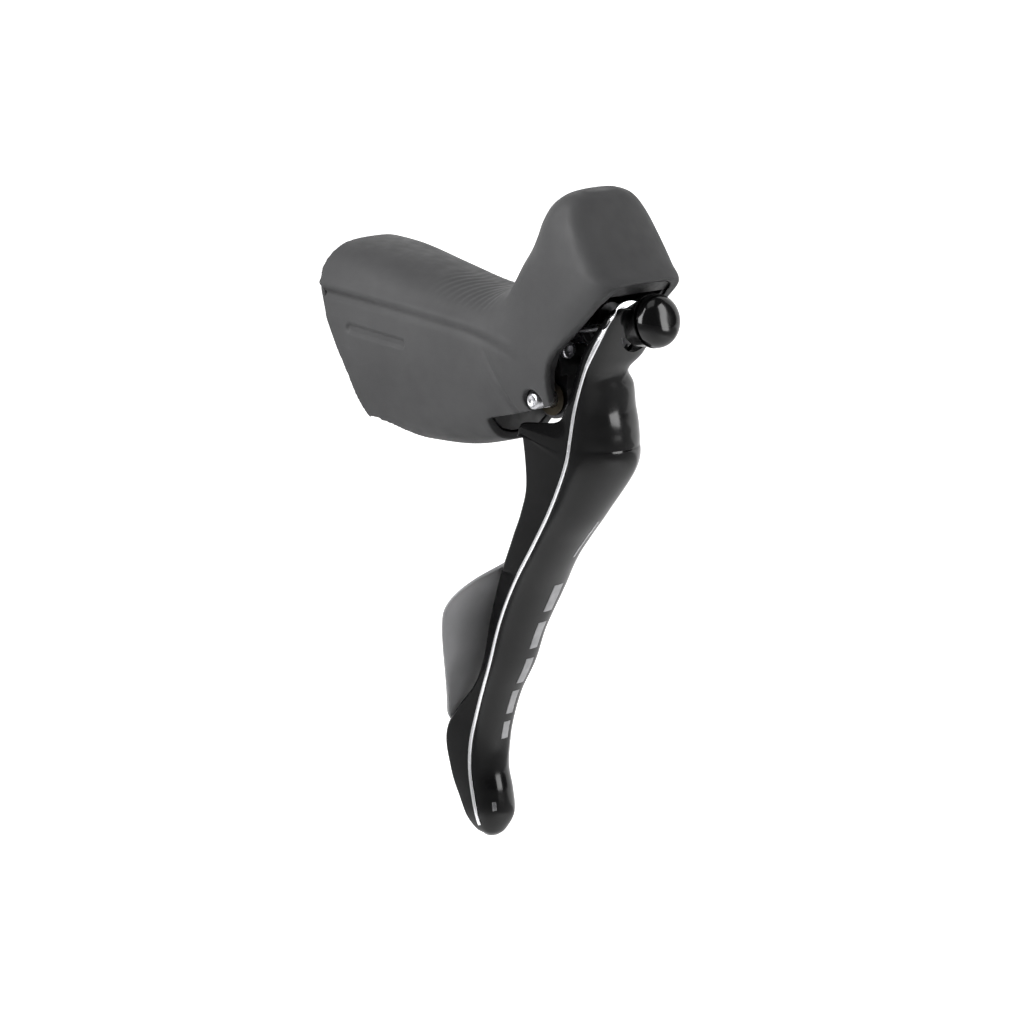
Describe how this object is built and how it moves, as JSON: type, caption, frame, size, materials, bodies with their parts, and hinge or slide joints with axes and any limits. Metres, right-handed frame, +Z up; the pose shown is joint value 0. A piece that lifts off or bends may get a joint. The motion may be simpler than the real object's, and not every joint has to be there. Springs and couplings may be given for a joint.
{
  "type": "bicycle brake and shift lever",
  "caption": "Drop-bar brake and shift lever: rubber hood with a front horn, swinging brake blade, release paddle and bar clamp.",
  "frame": {"origin": "centre of the handlebar at the middle of the clamp band", "axes": "+X forward along the bicycle, +Y outboard (bicycle's left), +Z up"},
  "size_m": [0.1164, 0.0385, 0.1799],
  "materials": {
    "hood_rubber": "matte moulded rubber",
    "bracket_composite": "glass-filled nylon, fine grain",
    "blade_gloss": "gloss black lacquer",
    "bright_trim": "bright polished trim",
    "paddle_plastic": "satin grey moulded plastic",
    "steel": "machined steel",
    "spring_steel": "drawn spring wire",
    "alloy": "machined and anodised alloy",
    "brass": "turned brass",
    "seal_rubber": "moulded seal rubber"
  },
  "bodies": {
    "fixed": {"bracket_body": "bracket_composite", "hood": "hood_rubber", "reservoir_diaphragm": "seal_rubber", "reservoir_lid": "alloy", "lid_screw_near": "steel", "lid_screw_far": "steel", "bleed_screw": "steel", "bleed_o_ring": "seal_rubber", "hose_nut": "steel", "hose_olive": "brass", "cable_stop": "alloy", "cylinder_gland": "alloy", "piston_spring": "spring_steel", "pivot_pin": "steel"},
    "bolt": {"clamp_bolt": "steel"},
    "clamp": {"clamp_band": "steel", "clamp_nut": "steel"},
    "piston": {"master_piston": "alloy", "primary_seal": "seal_rubber", "secondary_seal": "seal_rubber", "pull_rod": "steel"},
    "lever": {"lever_carrier": "alloy", "clevis_pin": "steel", "pivot_bush_near": "brass", "pivot_bush_far": "brass", "lever_return_spring": "spring_steel", "shift_axle": "steel", "axle_clip": "steel", "nose_cap": "blade_gloss", "hold_pawl": "steel", "blade_return_spring": "spring_steel"},
    "reach": {"reach_screw": "steel"},
    "blade": {"brake_blade": "blade_gloss", "blade_trim": "bright_trim", "drive_arm": "steel", "feed_pawl": "steel", "paddle_return_spring": "spring_steel"},
    "release": {"release_paddle": "paddle_plastic"},
    "spool": {"cable_spool": "bracket_composite", "ratchet_wheel": "steel"}
  },
  "joints": [
    {"name": "brake_pull", "type": "hinge", "parent": "fixed", "child": "lever", "pos_m": [0.068, 0, -0.008], "axis": [0, 1, 0], "range_deg": [0, 22], "stiffness_Nm_per_rad": 1.2, "springref_deg": -14.32},
    {"name": "piston_slide", "type": "slide", "parent": "fixed", "child": "piston", "axis": [1, 0, 0], "range_m": [0, 0.004], "deforming": ["piston_spring"]},
    {"name": "shift_swing", "type": "hinge", "parent": "lever", "child": "blade", "pos_m": [0.0945, 0.0035, 0.0143], "axis": [-0.9848, 0, -0.1736], "range_deg": [0, 8], "stiffness_Nm_per_rad": 0.6, "springref_deg": -22.92},
    {"name": "release_swing", "type": "hinge", "parent": "blade", "child": "release", "pos_m": [0.0945, 0.0035, 0.0143], "axis": [-0.9848, 0, -0.1736], "range_deg": [0, 4.5], "stiffness_Nm_per_rad": 0.3, "springref_deg": -22.92},
    {"name": "spool_turn", "type": "hinge", "parent": "lever", "child": "spool", "pos_m": [0.0945, 0.0035, 0.0143], "axis": [-0.9848, 0, -0.1736], "range_deg": [0, 9]},
    {"name": "reach_adjust", "type": "hinge", "parent": "lever", "child": "reach", "pos_m": [0.069, -0.0076, 0.0058], "axis": [1, 0, 0], "range_deg": [-720, 0]},
    {"name": "clamp_bolt_turn", "type": "hinge", "parent": "fixed", "child": "bolt", "pos_m": [0.02922, 0, 0.01122], "axis": [0.9336, 0, 0.3584], "range_deg": [0, 540]},
    {"name": "clamp_band_slide", "type": "slide", "parent": "fixed", "child": "clamp", "axis": [-0.9336, 0, -0.3584], "range_m": [0, 0.0015]}
  ],
  "couplings": [
    {"joint": "piston_slide", "follows": "brake_pull", "m_per_rad": 0.01},
    {"joint": "spool_turn", "follows": "shift_swing", "ratio": 1},
    {"joint": "clamp_bolt_turn", "follows": "clamp_band_slide", "rad_per_m": 6283.2}
  ]
}
